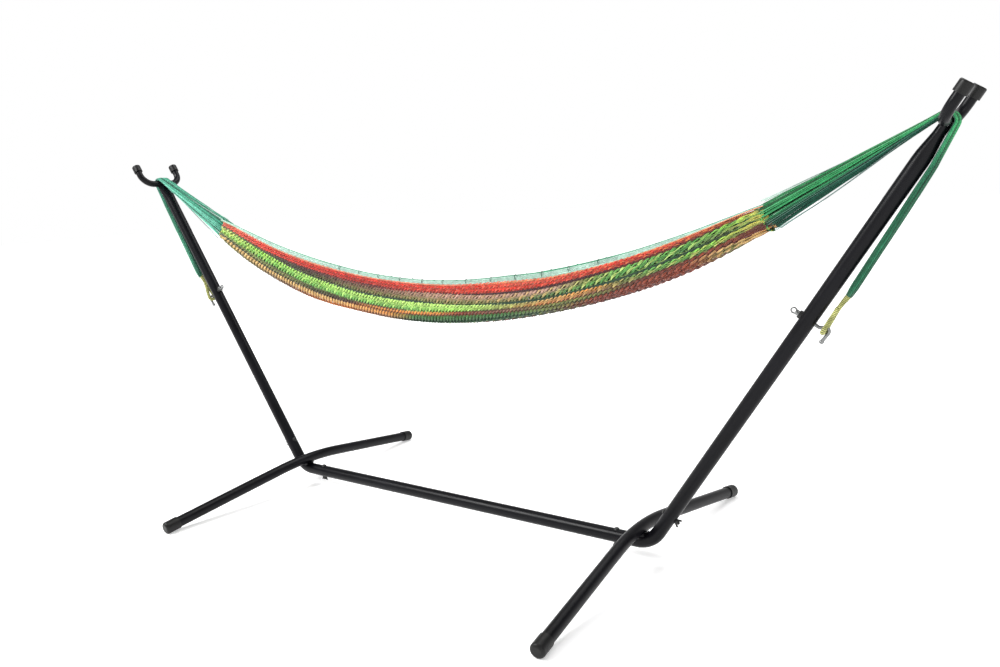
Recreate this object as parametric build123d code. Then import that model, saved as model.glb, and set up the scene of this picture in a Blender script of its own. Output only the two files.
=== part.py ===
from build123d import *
import math
import os

os.makedirs("parts", exist_ok=True)

# A string hammock hung on a free-standing steel tube stand. Everything on the +X side is
# modelled once and mirrored to the -X side. Millimetres, +Z up, the floor is Z = 0.

# Stand: overall layout
HALF_WIDTH = 610.0          # middle plane to the end of a foot cap
FOOT_END_X = 752.0
FOOT_END_Z = 18.5
CORNER_X = 745.0            # where the bar's axis and a post's axis cross
BAR_Z = 56.0
LEAN = math.radians(56.8)   # post above the horizontal
SADDLE = 1343.0             # corner to the fork's saddle, along the post

# Stand: tubes
TUBE_R = 20.5               # bar, elbows and posts
TUBE_BORE = 18.7
SPIGOT_R = 18.5
SPIGOT_BORE = 16.7
ELBOW_BEND = 84.0
ELBOW_LEG = 76.0            # corner to the shoulder the bar or post butts on
SPIGOT_LENGTH = 90.0
PRESS_START = 1245.0        # the post's top end is pressed oval from here up to its fork
PRESS_WIDE = 27.0           # half width across, and half thickness, of the pressed end
PRESS_THIN = 12.6
POST_WALL = 1.8
FOOT_R = 18.5
FOOT_BORE = 16.9
FOOT_BEND = 900.0
FOOT_CONTACT = math.radians(18.0)
FORK_R = 12.5
FORK_BORE = 10.9
FORK_HALF = 84.0
FORK_BEND = 46.0
FORK_ARM = 80.0
WELD_GAP = 0.2

# Rubber caps
CAP_SKIN = 0.1              # clearance between a tube and its cap
FOOT_CAP_R = 21.0
FOOT_CAP_LENGTH = 50.0
FOOT_CAP_END = 12.0
FOOT_CAP_ROUND = 9.0
FORK_CAP_R = 16.5
FORK_CAP_LENGTH = 28.0
FORK_CAP_END = 8.0
FORK_CAP_ROUND = 4.0

# Joint bolts and their wing nuts
BOLT_STATION = 112.0        # corner to bolt, along the bar and along the post
BOLT_R = 4.0
BOLT_HOLE_R = 4.1
BOLT_HEAD_R = 9.0
BOLT_HEAD_RISE = 5.0
BOLT_TIP = 33.0
NUT_BORE_R = 4.06
NUT_SEAT = 20.9
NUT_TOP = 29.0
WING_SPAN = 26.5
WING_THICKNESS = 3.2

# Hook through each post
HOOK_STATION = 805.0
HOOK_R = 4.5
HOOK_HOLE_R = 4.6
HOOK_BEND = 8.0
HOOK_INNER_END = 34.0
HOOK_TIP_R = 6.0
HOOK_ROUTE = [(32.0, 0.0), (58.0, 16.0), (56.0, -26.0)]   # out from the post, up along it
SPACER_R = 11.0
WASHER_R = 10.0
RING_NUT_BORE_R = 4.56
RING_NUT_R = 7.0
RING_MAJOR = 6.8
RING_MINOR = 2.2

# Hammock: (x, middle height, section height, section width) of the gathered bed, half of it
BED = [
    (0.0, 731.5, 144.0, 104.0),
    (235.0, 748.0, 140.0, 102.0),
    (440.0, 775.5, 136.0, 100.0),
    (690.0, 831.0, 134.0, 94.0),
    (855.0, 886.0, 118.0, 86.0),
    (960.0, 926.0, 103.0, 78.0),
    (1060.0, 969.0, 87.0, 68.0),
    (1102.0, 987.0, 75.0, 60.0),
]
BED_CORNER = 0.44           # corner radius over section width
SLOT_HALF = 14.0
SLOT_FLOOR = [15.0, 14.0, 12.0, 8.0, 5.0, 3.0, 1.0, 0.0]   # below the middle height
EDGE_BAND = [17.0, 17.0, 16.5, 16.0, 14.5, 13.0, 11.0, 10.0]

# Hammock: end strings, over the saddle and down the outside of the post
SPLIT_X = 1440.0            # swinging strings end here, fixed strings begin
SPLIT_GAP = 1.0
SADDLE_ROUTE = [(-10.5, 21.1), (17.0, 16.3)]
SADDLE_BEND = 18.6
SHOULDER = (30.5, -93.0)    # strings bear on the post where its pressed end begins
TAIL_END = (46.0, 106.0)    # out from the post, up from the hook station
CLEW_END_WIDTH = 44.0
CLEW_END_THICKNESS = 12.0
TAIL_SECTIONS = [
    (0.000, 44.0, 12.0),
    (0.060, 46.0, 12.0),
    (0.070, 46.0, 12.0),
    (0.082, 46.0, 12.0),
    (0.095, 46.0, 12.0),
    (0.108, 46.0, 12.0),
    (0.121, 46.0, 12.0),
    (0.134, 45.0, 12.0),
    (0.147, 44.0, 12.0),
    (0.165, 43.0, 12.0),
    (0.250, 38.0, 13.5),
    (0.338, 35.0, 15.0),
    (0.352, 35.0, 15.0),
    (0.500, 33.0, 17.5),
    (0.750, 31.0, 18.5),
    (0.960, 29.0, 18.5),
    (1.000, 24.0, 15.0),
]

# Wrapped loop at the end of the strings
LOOP_R = 6.0
LOOP_OUT = 46.0
LOOP_DROP = -5.0
LOOP_HALF = 13.3
LOOP_TOP = (42.0, 63.0)
LOOP_BEND = 10.5
NECK_R = 5.6


def on_post(along, out=0.0, y=0.0):
    """Point measured along the +X post from the corner and out from its axis."""
    x = CORNER_X + along * math.cos(LEAN) + out * math.sin(LEAN)
    z = BAR_Z + along * math.sin(LEAN) - out * math.cos(LEAN)
    return Vector(x, y, z)


def rod(start, end, radius, bore=0.0):
    """Straight round bar or tube between two points."""
    start = Vector(start)
    end = Vector(end)
    profile = Circle(radius)
    if bore:
        profile = profile - Circle(bore)
    plane = Plane(origin=start, z_dir=end - start)
    return extrude(plane * profile, amount=(end - start).length)


def bent(points, bend, radius, bore=0.0):
    """Round bar or tube along straight runs joined by arcs."""
    path = FilletPolyline(*points, radius=bend)
    start = Plane(origin=path @ 0, z_dir=path % 0)
    body = sweep(start * Circle(radius), path=path)
    if bore:
        body = body - sweep(start * Circle(bore), path=path)
    return body


def pressed(stop, inset):
    """The post's top end, which goes from round to a flat oval under the fork."""
    sections = []
    for share in (0.0, 0.2, 0.4, 0.6, 0.8, 1.0):
        along = PRESS_START + (SADDLE - 14.0 - PRESS_START) * share
        ease = share * share * (3 - 2 * share)
        wide = TUBE_R + (PRESS_WIDE - TUBE_R) * ease - inset
        thin = TUBE_R + (PRESS_THIN - TUBE_R) * ease - inset
        if share == 1.0:
            along = stop
        plane = Plane(origin=on_post(along), x_dir=(0, 1, 0), z_dir=on_post(1.0) - on_post(0.0))
        sections.append(plane * Ellipse(wide, thin))
    return loft(sections, ruled=True)


def rounded(width, height, corner):
    return RectangleRounded(width, height, min(corner, 0.49 * width, 0.49 * height))


def cap(end, direction, radius, length, end_wall, bore, edge_round):
    """Push-on rubber cap whose closed end is centred on the point end."""
    plane = Plane(origin=end, z_dir=direction)
    body = extrude(Circle(radius), amount=length)
    body = fillet(body.edges().group_by(Axis.Z)[0], edge_round)
    hollow = Pos(0, 0, end_wall) * extrude(Circle(bore), amount=length)
    return plane * (body - hollow)


def save(shape, name):
    export_step(shape, "parts/" + name + ".step")


def save_pair(shape, name):
    """The +X piece and its mirror image."""
    save(shape, name + "_right")
    save(mirror(shape, about=Plane.YZ), name + "_left")


# ---- elbows, bar and posts ---------------------------------------------------------------

corner = Vector(CORNER_X, 0, BAR_Z)
bar_shoulder = Vector(CORNER_X - ELBOW_LEG, 0, BAR_Z)
bar_spigot_end = Vector(CORNER_X - ELBOW_LEG - SPIGOT_LENGTH, 0, BAR_Z)
post_shoulder = on_post(ELBOW_LEG)
post_spigot_end = on_post(ELBOW_LEG + SPIGOT_LENGTH)
bar_bolt = Vector(CORNER_X - BOLT_STATION, 0, BAR_Z)
post_bolt = on_post(BOLT_STATION)
post_axis = on_post(1.0) - on_post(0.0)
post_out = on_post(0.0, 1.0) - on_post(0.0)

bar_hole = rod(bar_bolt - Vector(0, 0, 30), bar_bolt + Vector(0, 0, 30), BOLT_HOLE_R)
post_hole = rod(post_bolt - post_out * 30, post_bolt + post_out * 30, BOLT_HOLE_R)

elbow = bent([bar_shoulder, corner, post_shoulder], ELBOW_BEND, TUBE_R)
elbow = elbow + rod(bar_spigot_end, bar_shoulder + Vector(8, 0, 0), SPIGOT_R)
elbow = elbow + rod(post_shoulder - post_axis * 8, post_spigot_end, SPIGOT_R)
bore_points = [bar_spigot_end - Vector(5, 0, 0), corner, post_spigot_end + post_axis * 5]
elbow_bore = bent(bore_points, ELBOW_BEND, SPIGOT_BORE)
elbow = elbow - elbow_bore
elbow = elbow - bar_hole - post_hole

bar = rod(Vector(-bar_shoulder.X, 0, BAR_Z), bar_shoulder, TUBE_R, TUBE_BORE)
bar = bar - bar_hole - mirror(bar_hole, about=Plane.YZ)

saddle_rod = rod(on_post(SADDLE, 0, -60), on_post(SADDLE, 0, 60), FORK_R + 0.02)
hook_hole = rod(on_post(HOOK_STATION, -40), on_post(HOOK_STATION, 40), HOOK_HOLE_R)
post = rod(post_shoulder, on_post(PRESS_START), TUBE_R) + pressed(SADDLE - 6.0, 0.0)
post = post - rod(post_shoulder, on_post(PRESS_START), TUBE_BORE)
post = post - pressed(SADDLE - 17.0, POST_WALL)
post = post - saddle_rod - post_hole - hook_hole

# ---- feet: arched cross tubes that rest in the inside of the elbows ----------------------

arc_centre = Vector(CORNER_X - ELBOW_BEND * math.tan(LEAN / 2), 0, BAR_Z + ELBOW_BEND)
reach = ELBOW_BEND - TUBE_R - FOOT_R - WELD_GAP
foot_middle = arc_centre + Vector(math.sin(FOOT_CONTACT), 0, -math.cos(FOOT_CONTACT)) * reach
foot_end = Vector(FOOT_END_X, 0, FOOT_END_Z)
rise = (foot_middle - foot_end).length
sagitta = 0.0
for _ in range(4):
    sagitta = FOOT_BEND * (1 / math.cos(math.atan2(rise + sagitta, HALF_WIDTH)) - 1)
foot_apex = foot_end + (foot_middle - foot_end).normalized() * (rise + sagitta)
near_end = foot_end + Vector(0, -HALF_WIDTH, 0)
far_end = foot_end + Vector(0, HALF_WIDTH, 0)
near_way = (foot_apex - near_end).normalized()
far_way = (foot_apex - far_end).normalized()
near_tube_end = near_end + near_way * (FOOT_CAP_END + CAP_SKIN)
far_tube_end = far_end + far_way * (FOOT_CAP_END + CAP_SKIN)
foot = bent([near_tube_end, foot_apex, far_tube_end], FOOT_BEND, FOOT_R, FOOT_BORE)

foot_cap = cap(near_end, near_way, FOOT_CAP_R, FOOT_CAP_LENGTH, FOOT_CAP_END,
               FOOT_R + CAP_SKIN, FOOT_CAP_ROUND)
ground = Pos(FOOT_END_X, -HALF_WIDTH, -50) * Box(200, 200, 100)
foot_cap = foot_cap - ground

# The weld that holds a foot to its elbow fills the wedge between the two round tubes.
contact_way = (foot_middle - arc_centre).normalized()
contact = arc_centre + contact_way * (ELBOW_BEND - TUBE_R - WELD_GAP / 2)
weld_plane = Plane(origin=contact, x_dir=(0, 1, 0), z_dir=contact_way)
weld = weld_plane * Box(34, 22, 9)
weld = weld - rod(foot_middle - Vector(0, 60, 0), foot_middle + Vector(0, 60, 0), FOOT_R + 0.9)
weld = weld - elbow_bore
elbow = elbow + weld

save(bar, "base_bar")
save_pair(elbow, "elbow")
save_pair(post, "post")
save_pair(foot, "foot")
save_pair(foot_cap, "foot_cap_near")
save_pair(mirror(foot_cap, about=Plane.XZ), "foot_cap_far")

# ---- forks: U tubes across the post tops, with caps on their arms -------------------------

fork_points = [
    on_post(SADDLE + FORK_ARM, 0, -FORK_HALF),
    on_post(SADDLE, 0, -FORK_HALF),
    on_post(SADDLE, 0, FORK_HALF),
    on_post(SADDLE + FORK_ARM, 0, FORK_HALF),
]
fork = bent(fork_points, FORK_BEND, FORK_R, FORK_BORE)
fork_tip = on_post(SADDLE + FORK_ARM + FORK_CAP_END + CAP_SKIN, 0, -FORK_HALF)
fork_cap = cap(fork_tip, post_axis * -1, FORK_CAP_R, FORK_CAP_LENGTH, FORK_CAP_END,
               FORK_R + CAP_SKIN, FORK_CAP_ROUND)
save_pair(fork, "fork")
save_pair(fork_cap, "fork_cap_near")
save_pair(mirror(fork_cap, about=Plane.XZ), "fork_cap_far")

# ---- joint bolts with wing nuts -----------------------------------------------------------
# Local frame: X along the tube, Z from the bolt's head to its nut, origin on the tube's axis.

head_base = -TUBE_R + 3.0
head_top = -TUBE_R - BOLT_HEAD_RISE
dome = ThreePointArc((0, head_top), (BOLT_HEAD_R * 0.62, head_top + 1.1),
                     (BOLT_HEAD_R, -TUBE_R - 0.6))
skirt = Polyline((BOLT_HEAD_R, -TUBE_R - 0.6), (BOLT_HEAD_R, head_base), (0, head_base),
                 (0, head_top))
head = revolve(Plane.XZ * make_face([dome, skirt]), axis=Axis.Z)
head = head - Rot(0, 90, 0) * Cylinder(TUBE_R + 0.03, 60)
bolt = head + rod((0, 0, head_top + 2.0), (0, 0, BOLT_TIP), BOLT_R)

nut_profile = Polyline((NUT_BORE_R, NUT_SEAT), (8.0, NUT_SEAT), (8.0, NUT_SEAT + 2.0),
                       (6.2, NUT_TOP), (NUT_BORE_R, NUT_TOP), close=True)
wing_nut = revolve(Plane.XZ * make_face(nut_profile), axis=Axis.Z)
half = WING_SPAN / 2
wing_outline = Polyline((5.0, NUT_SEAT + 1.0), (8.6, NUT_SEAT + 2.2), (half, NUT_SEAT + 9.5),
                        (half, NUT_SEAT + 13.0), (half - 2.4, NUT_SEAT + 14.0),
                        (5.0, NUT_SEAT + 7.4), close=True)
wing = extrude(Plane.XZ * make_face(wing_outline), amount=WING_THICKNESS / 2, both=True)
wing = fillet(wing.edges().filter_by(Axis.Y).group_by(Axis.X)[-1], 1.4)
bolt_way = rod((0, 0, 0), (0, 0, 60), NUT_BORE_R)
wing_nut = wing_nut + (wing - bolt_way) + mirror(wing - bolt_way, about=Plane.YZ)

bar_frame = Plane(origin=bar_bolt, x_dir=(1, 0, 0), z_dir=(0, 0, -1))
post_frame = Plane(origin=post_bolt, x_dir=post_axis, z_dir=post_out)
save_pair(bar_frame * bolt, "bar_bolt")
save_pair(post_frame * bolt, "post_bolt")
save_pair(bar_frame * wing_nut, "bar_wing_nut")
save_pair(post_frame * wing_nut, "post_wing_nut")

# ---- hooks --------------------------------------------------------------------------------

hook_points = [on_post(HOOK_STATION, -HOOK_INNER_END)]
for out, up in HOOK_ROUTE:
    hook_points.append(on_post(HOOK_STATION + up, out))
hook = bent(hook_points, HOOK_BEND, HOOK_R)
hook = hook + Pos(*hook_points[-1]) * Sphere(HOOK_TIP_R)

# Local frame: Z points in from the post's axis along the shank, X along the post.
shank_frame = Plane(origin=on_post(HOOK_STATION), x_dir=post_axis, z_dir=post_out * -1)
spacer = rod((0, 0, 17.5), (0, 0, 25.5), SPACER_R, HOOK_R + 0.06)
spacer = spacer - Rot(0, 90, 0) * Cylinder(TUBE_R + 0.03, 60)
washer = rod((0, 0, 25.5), (0, 0, 27.3), WASHER_R, HOOK_R + 0.06)
ring = Pos(0, 0, 27.7 + 7.5 + RING_MAJOR) * Rot(90, 0, 0) * Torus(RING_MAJOR, RING_MINOR)
ring_nut = rod((0, 0, 27.7), (0, 0, 35.6), RING_NUT_R) + ring
ring_nut = ring_nut - rod((0, 0, 27), (0, 0, HOOK_INNER_END + 0.4), RING_NUT_BORE_R)
save_pair(hook, "hook")
save_pair(shank_frame * spacer, "hook_spacer")
save_pair(shank_frame * washer, "hook_washer")
save_pair(shank_frame * ring_nut, "hook_ring_nut")

# ---- gathered bed with its open trough and its two edge bands -----------------------------


def section_plane(x, z):
    return Plane(origin=(x, 0, z), x_dir=(0, 1, 0), z_dir=(1, 0, 0))


def mirrored(rows):
    """Rows (x, ...) for x from the -X end to the +X end."""
    flipped = [(-row[0],) + tuple(row[1:]) for row in rows[:0:-1]]
    return flipped + [tuple(row) for row in rows]


def above(rows, ceiling):
    """Everything above a smooth line through (x, z), as a wide slab."""
    line = Spline(*[(x, z) for x, z in rows])
    first = rows[0]
    last = rows[-1]
    frame = Polyline((last[0], last[1]), (last[0], ceiling), (first[0], ceiling),
                     (first[0], first[1]))
    return make_face([line, frame])


bed_sections = []
for x, z, height, width in mirrored(BED):
    bed_sections.append(section_plane(x, z) * rounded(width, height, BED_CORNER * width))
bed_outer = loft(bed_sections)

floor_rows = [(row[0], row[1] - drop) for row, drop in zip(BED, SLOT_FLOOR)]
floor_rows.append((BED[-1][0] + 60.0, floor_rows[-1][1] + 28.0))
band_rows = [(row[0], row[1] + row[2] / 2 - band) for row, band in zip(BED, EDGE_BAND)]
band_rows.append((BED[-1][0] + 60.0, band_rows[-1][1] + 22.0))
slot = extrude(Plane.XZ * above(mirrored(floor_rows), 1300), amount=SLOT_HALF, both=True)
top_zone = extrude(Plane.XZ * above(mirrored(band_rows), 1300), amount=120, both=True)
trough = bed_outer - slot
bed = trough - top_zone
edges = trough & top_zone
edges = sorted(edges.solids(), key=lambda s: s.center().Y)
save(bed, "bed")
save(edges[0], "edge_band_near")
save(edges[-1], "edge_band_far")

# ---- end strings: swinging part, and the part laid over the saddle and down the post ------

bed_end = Vector(BED[-1][0], 0, BED[-1][1])
over_saddle = [on_post(SADDLE + up, out) for out, up in SADDLE_ROUTE]
way = (over_saddle[0] - bed_end).normalized()


def on_clew(x):
    return bed_end + way * ((x - bed_end.X) / way.X)


clew_start = on_clew(SPLIT_X)
tail_start = on_clew(SPLIT_X + SPLIT_GAP)
wide = section_plane(bed_end.X, bed_end.Z) * rounded(BED[-1][3], BED[-1][2],
                                                     BED_CORNER * BED[-1][3])
narrow = section_plane(clew_start.X, clew_start.Z) * rounded(CLEW_END_WIDTH,
                                                             CLEW_END_THICKNESS * 1.14, 7)
clew = loft([wide, narrow], ruled=True)
save_pair(clew, "clew")

tail_stop = on_post(HOOK_STATION + TAIL_END[1], TAIL_END[0])
shoulder = on_post(SADDLE + SHOULDER[1], SHOULDER[0])
tail_path = FilletPolyline(tail_start, *over_saddle, shoulder, tail_stop, radius=SADDLE_BEND)
tail_sections = []
for u, width, thickness in TAIL_SECTIONS:
    if u == 0.0:
        plane = section_plane(tail_start.X, tail_start.Z)
        thickness = thickness * 1.14
    else:
        plane = Plane(origin=tail_path @ u, x_dir=(0, 1, 0), z_dir=tail_path % u)
    tail_sections.append(plane * rounded(width, thickness, 0.46 * thickness))
tail = loft(tail_sections, ruled=True)
save_pair(tail, "tail")

# ---- wrapped loop round the hook ----------------------------------------------------------

loop_half = [
    on_post(HOOK_STATION + LOOP_TOP[1], LOOP_TOP[0], 2.6),
    on_post(HOOK_STATION + LOOP_DROP, LOOP_OUT, LOOP_HALF),
    on_post(HOOK_STATION + LOOP_DROP, LOOP_OUT, 0.0),
]
half_loop = bent(loop_half, LOOP_BEND, LOOP_R)
neck_top = on_post(HOOK_STATION + TAIL_END[1] - 1.0, TAIL_END[0] - 1.5)
neck_low = on_post(HOOK_STATION + LOOP_TOP[1] - 7.0, LOOP_TOP[0] + 0.6)
loop = half_loop + mirror(half_loop, about=Plane.XZ) + rod(neck_low, neck_top, NECK_R)
save_pair(loop, "loop")
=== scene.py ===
"""String hammock hung gathered on a black tube stand: materials, strings, light and camera."""
import math

import bpy
import numpy as np
from mathutils import Matrix, Vector


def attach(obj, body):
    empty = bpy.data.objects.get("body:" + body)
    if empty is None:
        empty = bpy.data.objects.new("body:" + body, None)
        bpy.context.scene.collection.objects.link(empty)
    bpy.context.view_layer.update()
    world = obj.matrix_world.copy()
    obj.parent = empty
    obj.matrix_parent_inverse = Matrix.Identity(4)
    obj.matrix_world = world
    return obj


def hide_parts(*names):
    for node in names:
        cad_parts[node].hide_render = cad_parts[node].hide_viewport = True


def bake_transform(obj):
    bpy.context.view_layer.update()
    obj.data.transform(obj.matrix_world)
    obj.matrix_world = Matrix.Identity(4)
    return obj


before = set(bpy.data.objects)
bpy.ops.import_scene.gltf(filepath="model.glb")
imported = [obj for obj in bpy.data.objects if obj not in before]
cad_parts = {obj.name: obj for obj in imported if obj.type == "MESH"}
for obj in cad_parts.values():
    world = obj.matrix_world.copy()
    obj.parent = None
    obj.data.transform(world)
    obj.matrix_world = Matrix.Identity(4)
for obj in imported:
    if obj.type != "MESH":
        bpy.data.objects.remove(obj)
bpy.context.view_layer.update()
rng = np.random.default_rng(7)
TAU = 2 * math.pi

# ---- the stand's geometry, metres ---------------------------------------------------------

LEAN = math.radians(56.8)         # slope of the right post from the ground
CORNER = np.array([0.745, 0.0, 0.056])                          # where it leaves the base bar
POST = np.array([math.cos(LEAN), 0.0, math.sin(LEAN)])          # along the post
OUT = np.array([math.sin(LEAN), 0.0, -math.cos(LEAN)])          # square to it, outwards
SADDLE = 1.343                    # distance along the post to the fork's saddle
HOOK = 0.805                      # and to the hook
HALF = 1.102                      # half the woven bed's length

# x, middle height, section height and section width of the gathered bed
BED = np.array([
    (0.0, 0.7315, 0.144, 0.104),
    (0.235, 0.748, 0.140, 0.102),
    (0.440, 0.7755, 0.136, 0.100),
    (0.690, 0.831, 0.134, 0.094),
    (0.855, 0.886, 0.118, 0.086),
    (0.960, 0.926, 0.103, 0.078),
    (1.060, 0.969, 0.087, 0.068),
    (1.102, 0.987, 0.075, 0.060),
])


def even_curve(column, order):
    """Smooth curve through a column of BED, the same at both ends of the bed."""
    fit = np.polyfit(BED[:, 0] ** 2, BED[:, column], order)
    return lambda x: np.polyval(fit, np.minimum(np.abs(x), HALF) ** 2)


mid_z = even_curve(1, 4)
bed_height = even_curve(2, 3)
bed_width = even_curve(3, 3)


def smooth(a, b, x):
    """0 below a, 1 above b, and a smooth rise between them."""
    t = np.clip((x - a) / (b - a), 0, 1)
    return t * t * (3 - 2 * t)


def on_post(along, out=0.0, side=1):
    """Point at a distance along a post's axis and outwards from it; side is 1 or -1."""
    p = CORNER + POST * along + OUT * out
    return p * np.array([side, 1, 1])


def wander(x, scale, seed):
    """Slow random curve along x, about -1 to 1."""
    r = np.random.default_rng(seed)
    total = np.zeros_like(x)
    for k in range(4):
        total = total + np.sin(x * TAU / scale * (0.6 + 0.5 * k) + r.uniform(0, TAU)) / (1 + k)
    return total / 1.7


# ---- materials ----------------------------------------------------------------------------

def srgb(r, g, b):
    def one(c):
        c = c / 255
        return c / 12.92 if c <= 0.04045 else ((c + 0.055) / 1.055) ** 2.4
    return (one(r), one(g), one(b), 1.0)


def lin(*rgb):
    return np.array(srgb(*rgb)[:3])


def grey(v):
    return (v, v, v, 1.0)


def new_material(name, rough=0.5, metal=0.0, spec=0.5):
    m = bpy.data.materials.new(name)
    m.use_nodes = True
    tree = m.node_tree
    bsdf = tree.nodes["Principled BSDF"]
    bsdf.inputs["Roughness"].default_value = rough
    bsdf.inputs["Metallic"].default_value = metal
    bsdf.inputs["Specular IOR Level"].default_value = spec
    return m, tree, bsdf


def node(tree, kind, **inputs):
    n = tree.nodes.new(kind)
    for key, value in inputs.items():
        n.inputs[key.replace("_", " ")].default_value = value
    return n


def ramp(tree, source, stops):
    n = tree.nodes.new("ShaderNodeValToRGB")
    while len(n.color_ramp.elements) < len(stops):
        n.color_ramp.elements.new(0.5)
    for e, (at, colour) in zip(n.color_ramp.elements, stops):
        e.position = at
        e.color = colour
    tree.links.new(source, n.inputs["Fac"])
    return n


def maths(tree, operation, source, factor=None, added=None):
    n = tree.nodes.new("ShaderNodeMath")
    n.operation = operation
    tree.links.new(source, n.inputs[0])
    if factor is not None:
        n.inputs[1].default_value = factor
    if added is not None:
        tree.links.new(added, n.inputs[2])
    return n.outputs[0]


def multiplied(tree, a, b):
    n = tree.nodes.new("ShaderNodeMix")
    n.data_type = "RGBA"
    n.blend_type = "MULTIPLY"
    n.inputs["Factor"].default_value = 1.0
    first, second = (i for i in n.inputs if i.type == "RGBA")
    tree.links.new(a, first)
    tree.links.new(b, second)
    return next(o for o in n.outputs if o.type == "RGBA")


def surface(name, dark, light, rough, metal=0.0, spec=0.5, grain=900.0, bump=0.1, patch=18.0,
            depth=0.0002):
    """Hard surface: two tones in slow patches, roughness that varies, and a fine grain."""
    m, tree, bsdf = new_material(name, metal=metal, spec=spec)
    where = tree.nodes.new("ShaderNodeTexCoord")
    slow = node(tree, "ShaderNodeTexNoise", Scale=patch, Detail=5.0, Roughness=0.6)
    fine = node(tree, "ShaderNodeTexNoise", Scale=grain, Detail=2.0, Roughness=0.5)
    tree.links.new(where.outputs["Object"], slow.inputs["Vector"])
    tree.links.new(where.outputs["Object"], fine.inputs["Vector"])
    tone = ramp(tree, slow.outputs["Fac"], [(0.3, dark), (0.72, light)])
    tree.links.new(tone.outputs["Color"], bsdf.inputs["Base Color"])
    gloss = ramp(tree, slow.outputs["Fac"], [(0.25, grey(rough[0])), (0.8, grey(rough[1]))])
    tree.links.new(gloss.outputs["Color"], bsdf.inputs["Roughness"])
    raised = node(tree, "ShaderNodeBump", Strength=bump, Distance=depth)
    tree.links.new(fine.outputs["Fac"], raised.inputs["Height"])
    tree.links.new(raised.outputs["Normal"], bsdf.inputs["Normal"])
    return m


def yarn(name, pitch=0.009, plies=3, sheen=0.35, depth=0.0006):
    """Dyed string: its colour comes from the mesh's tint, twisted plies run along its UVs, with
    painted shade in the grooves between the plies.
    """
    m, tree, bsdf = new_material(name, rough=0.85, spec=0.25)
    tint = tree.nodes.new("ShaderNodeVertexColor")
    tint.layer_name = "tint"
    uv = tree.nodes.new("ShaderNodeUVMap")
    uv.uv_map = "along"
    parts = tree.nodes.new("ShaderNodeSeparateXYZ")
    tree.links.new(uv.outputs["UV"], parts.inputs["Vector"])
    turn = maths(tree, "MULTIPLY", parts.outputs["X"], float(plies))
    run = maths(tree, "MULTIPLY_ADD", parts.outputs["Y"], 1.0 / pitch, turn)
    ply = maths(tree, "SINE", maths(tree, "MULTIPLY", run, TAU))
    where = tree.nodes.new("ShaderNodeTexCoord")
    fuzz = node(tree, "ShaderNodeTexNoise", Scale=700.0, Detail=3.0, Roughness=0.7)
    slow = node(tree, "ShaderNodeTexNoise", Scale=60.0, Detail=3.0, Roughness=0.6)
    tree.links.new(where.outputs["Object"], fuzz.inputs["Vector"])
    tree.links.new(where.outputs["Object"], slow.inputs["Vector"])
    level = maths(tree, "MULTIPLY_ADD", ply, 0.5, fuzz.outputs["Fac"])
    raised = node(tree, "ShaderNodeBump", Strength=0.6, Distance=depth)
    tree.links.new(level, raised.inputs["Height"])
    tree.links.new(raised.outputs["Normal"], bsdf.inputs["Normal"])
    # random tone in slow patches, times painted shade: the colour drops to 0.62 in the grooves
    # between the plies
    shade = ramp(tree, slow.outputs["Fac"], [(0.3, grey(0.74)), (0.7, grey(1.12))])
    groove = ramp(tree, level, [(0.0, grey(0.62)), (0.75, grey(1.0))])
    tone_and_ply_shade = multiplied(tree, shade.outputs["Color"], groove.outputs["Color"])
    tree.links.new(multiplied(tree, tint.outputs["Color"], tone_and_ply_shade), bsdf.inputs["Base Color"])
    bsdf.inputs["Sheen Weight"].default_value = sheen
    bsdf.inputs["Sheen Roughness"].default_value = 0.5
    return m


powder = surface("powder_coat", srgb(6, 6, 9), srgb(12, 12, 17), (0.28, 0.40), spec=0.15,
                 grain=1300.0, bump=0.22, patch=9.0, depth=0.00025)
rubber = surface("cap_rubber", srgb(6, 6, 6), srgb(12, 12, 12), (0.34, 0.55), spec=0.28,
                 grain=500.0, bump=0.12, patch=40.0)
black_hard = surface("black_hardware", srgb(8, 8, 8), srgb(15, 15, 15), (0.3, 0.5), spec=0.45,
                     grain=900.0, bump=0.1, patch=60.0)
zinc = surface("zinc", srgb(104, 106, 106), srgb(152, 153, 152), (0.26, 0.48), metal=1.0,
               grain=420.0, bump=0.1, patch=150.0, depth=0.00015)
string_mat = yarn("dyed_string")
fine_mat = yarn("end_string", pitch=0.006, plies=2, sheen=0.15, depth=0.0003)
net_mat = yarn("edge_string", pitch=0.006, plies=2, sheen=0.3, depth=0.0003)
twine_mat = yarn("wrap_twine", pitch=0.004, plies=2, sheen=0.25, depth=0.0003)


def dress(prefix, material):
    """Gives a material to every CAD piece whose name starts with prefix."""
    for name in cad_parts:
        if name.startswith(prefix):
            o = bpy.data.objects[name]
            o.data.materials.clear()
            o.data.materials.append(material)


for finish, prefixes in (
    (powder, ("base_bar", "elbow", "post_left", "post_right", "foot_left", "foot_right",
              "fork_left", "fork_right")),
    (rubber, ("foot_cap", "fork_cap")),
    (black_hard, ("bar_bolt", "post_bolt", "bar_wing", "post_wing", "hook_spacer")),
    (zinc, ("hook_left", "hook_right", "hook_washer", "hook_ring")),
):
    for prefix in prefixes:
        dress(prefix, finish)


# ---- many tubes in one mesh ---------------------------------------------------------------

def frames(paths):
    """Tangent and two normals carried along each path; paths is (count, points, 3)."""
    tangent = np.gradient(paths, axis=1)
    tangent /= np.linalg.norm(tangent, axis=2, keepdims=True) + 1e-12
    points = paths.shape[1]
    first = np.cross(tangent[:, 0], np.array([0.13, 0.97, 0.21]))
    first /= np.linalg.norm(first, axis=1, keepdims=True)
    normal = np.zeros_like(paths)
    normal[:, 0] = first
    for i in range(1, points):
        n = normal[:, i - 1] - tangent[:, i] * np.sum(normal[:, i - 1] * tangent[:, i], axis=1,
                                                      keepdims=True)
        normal[:, i] = n / (np.linalg.norm(n, axis=1, keepdims=True) + 1e-12)
    return tangent, normal, np.cross(tangent, normal)


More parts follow.
